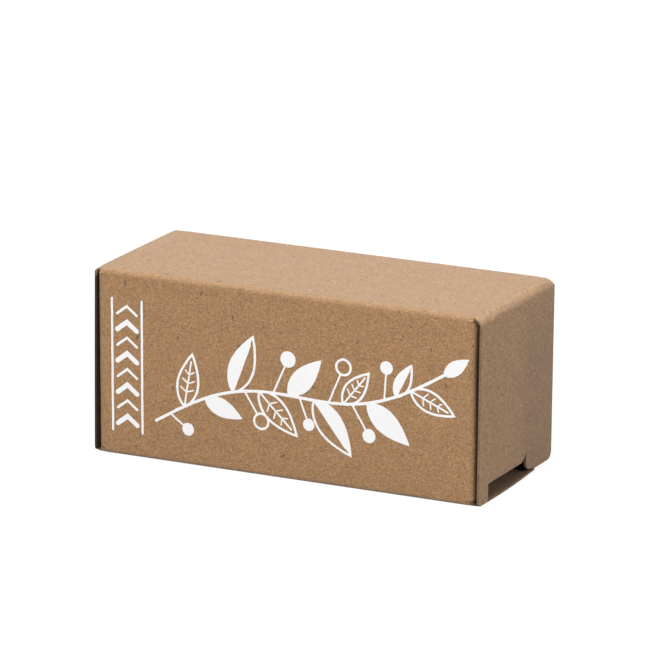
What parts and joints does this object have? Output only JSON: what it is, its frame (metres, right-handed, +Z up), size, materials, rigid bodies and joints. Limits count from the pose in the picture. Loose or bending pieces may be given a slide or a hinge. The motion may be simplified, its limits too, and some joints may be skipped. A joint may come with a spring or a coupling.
{
  "type": "boxed pill fob keychain",
  "caption": "Kraft tuck-end carton lying on its side, with fold-open closures and a screw-cap pill fob on a chain and split ring packed inside.",
  "frame": {"origin": "centre of the carton's footprint, on the surface that it lies on", "axes": "+X along the carton's length towards the end that opens for the fob, +Y from its front to its rear, +Z up"},
  "size_m": [0.0814, 0.0324, 0.0366],
  "materials": {
    "kraft_card": "uncoated brown kraft card, matte, with fine fibre flecks",
    "tube_metal": "satin turned aluminium",
    "cap_metal": "satin turned aluminium",
    "seal_rubber": "black rubber",
    "chain_steel": "bright nickel plate",
    "ring_steel": "bright nickel plate"
  },
  "bodies": {
    "carton": {"top_panel": "kraft_card", "front_panel": "kraft_card", "rear_panel": "kraft_card", "bottom_panel": "kraft_card", "glue_flap": "kraft_card"},
    "right_closure": {"right_closure_panel": "kraft_card"},
    "right_tongue": {"right_tuck_tongue": "kraft_card"},
    "right_front_dust": {"right_front_dust_flap": "kraft_card"},
    "right_rear_dust": {"right_rear_dust_flap": "kraft_card"},
    "left_closure": {"left_closure_panel": "kraft_card"},
    "left_tongue": {"left_tuck_tongue": "kraft_card"},
    "left_front_dust": {"left_front_dust_flap": "kraft_card"},
    "left_rear_dust": {"left_rear_dust_flap": "kraft_card"},
    "cap": {"screw_cap": "cap_metal"},
    "seal": {"seal_ring": "seal_rubber"},
    "tube": {"pill_tube": "tube_metal"},
    "lug_link": {"lug_link": "chain_steel"},
    "chain_link_1": {"chain_link_1": "chain_steel"},
    "chain_link_2": {"chain_link_2": "chain_steel"},
    "ring_link": {"ring_link": "chain_steel"},
    "split_ring": {"split_ring": "ring_steel"}
  },
  "joints": [
    {"name": "fob_slide", "type": "slide", "parent": "carton", "child": "cap", "axis": [1, 0, 0], "range_m": [0, 0.06]},
    {"name": "right_closure_fold", "type": "hinge", "parent": "carton", "child": "right_closure", "pos_m": [0.0407, 0, 0.0351], "axis": [0, -1, 0], "range_deg": [0, 140]},
    {"name": "right_tongue_fold", "type": "hinge", "parent": "right_closure", "child": "right_tongue", "pos_m": [0.0399, 0, 0.0032], "axis": [0, -1, 0], "range_deg": [0, 48]},
    {"name": "right_front_dust_fold", "type": "hinge", "parent": "carton", "child": "right_front_dust", "pos_m": [0.0399, -0.0142, 0.018], "axis": [0, 0, -1], "range_deg": [0, 111]},
    {"name": "right_rear_dust_fold", "type": "hinge", "parent": "carton", "child": "right_rear_dust", "pos_m": [0.0399, 0.0142, 0.018], "axis": [0, 0, 1], "range_deg": [0, 111]},
    {"name": "left_closure_fold", "type": "hinge", "parent": "carton", "child": "left_closure", "pos_m": [-0.0407, 0, 0.0351], "axis": [0, 1, 0], "range_deg": [0, 140]},
    {"name": "left_tongue_fold", "type": "hinge", "parent": "left_closure", "child": "left_tongue", "pos_m": [-0.0399, 0, 0.0032], "axis": [0, 1, 0], "range_deg": [0, 48]},
    {"name": "left_front_dust_fold", "type": "hinge", "parent": "carton", "child": "left_front_dust", "pos_m": [-0.0399, -0.0142, 0.018], "axis": [0, 0, 1], "range_deg": [0, 111]},
    {"name": "left_rear_dust_fold", "type": "hinge", "parent": "carton", "child": "left_rear_dust", "pos_m": [-0.0399, 0.0142, 0.018], "axis": [0, 0, -1], "range_deg": [0, 111]},
    {"name": "tube_turn", "type": "hinge", "parent": "cap", "child": "seal", "pos_m": [-0.018, 0, 0.0082], "axis": [1, 0, 0], "range_deg": [0, 1440]},
    {"name": "tube_travel", "type": "slide", "parent": "seal", "child": "tube", "axis": [1, 0, 0], "range_m": [0, 0.006]},
    {"name": "lug_link_swing", "type": "hinge", "parent": "cap", "child": "lug_link", "pos_m": [-0.03166, 0, 0.00889], "axis": [0, -1, 0], "range_deg": [0, 3]},
    {"name": "chain_link_1_swing", "type": "hinge", "parent": "lug_link", "child": "chain_link_1", "pos_m": [-0.03213, 0, 0.01427], "axis": [0, -1, 0], "range_deg": [0, 3]},
    {"name": "chain_link_2_swing", "type": "hinge", "parent": "chain_link_1", "child": "chain_link_2", "pos_m": [-0.03165, 0, 0.01698], "axis": [0, -1, 0], "range_deg": [0, 5]},
    {"name": "ring_link_swing", "type": "hinge", "parent": "chain_link_2", "child": "ring_link", "pos_m": [-0.02786, 0, 0.02039], "axis": [0, -1, 0], "range_deg": [0, 6]},
    {"name": "split_ring_swing", "type": "hinge", "parent": "ring_link", "child": "split_ring", "pos_m": [-0.02544, 0, 0.02035], "axis": [0, -1, 0], "range_deg": [0, 12]}
  ],
  "couplings": [
    {"joint": "right_tongue_fold", "follows": "fob_slide", "rad_per_m": 13.963},
    {"joint": "right_front_dust_fold", "follows": "fob_slide", "rad_per_m": 32.288},
    {"joint": "right_rear_dust_fold", "follows": "fob_slide", "rad_per_m": 32.288},
    {"joint": "right_closure_fold", "follows": "fob_slide", "rad_per_m": 40.724},
    {"joint": "left_tongue_fold", "follows": "left_closure_fold", "ratio": 0.3428},
    {"joint": "left_front_dust_fold", "follows": "left_closure_fold", "ratio": 0.7928},
    {"joint": "left_rear_dust_fold", "follows": "left_closure_fold", "ratio": 0.7928},
    {"joint": "tube_travel", "follows": "tube_turn", "m_per_rad": 0.00023873}
  ]
}
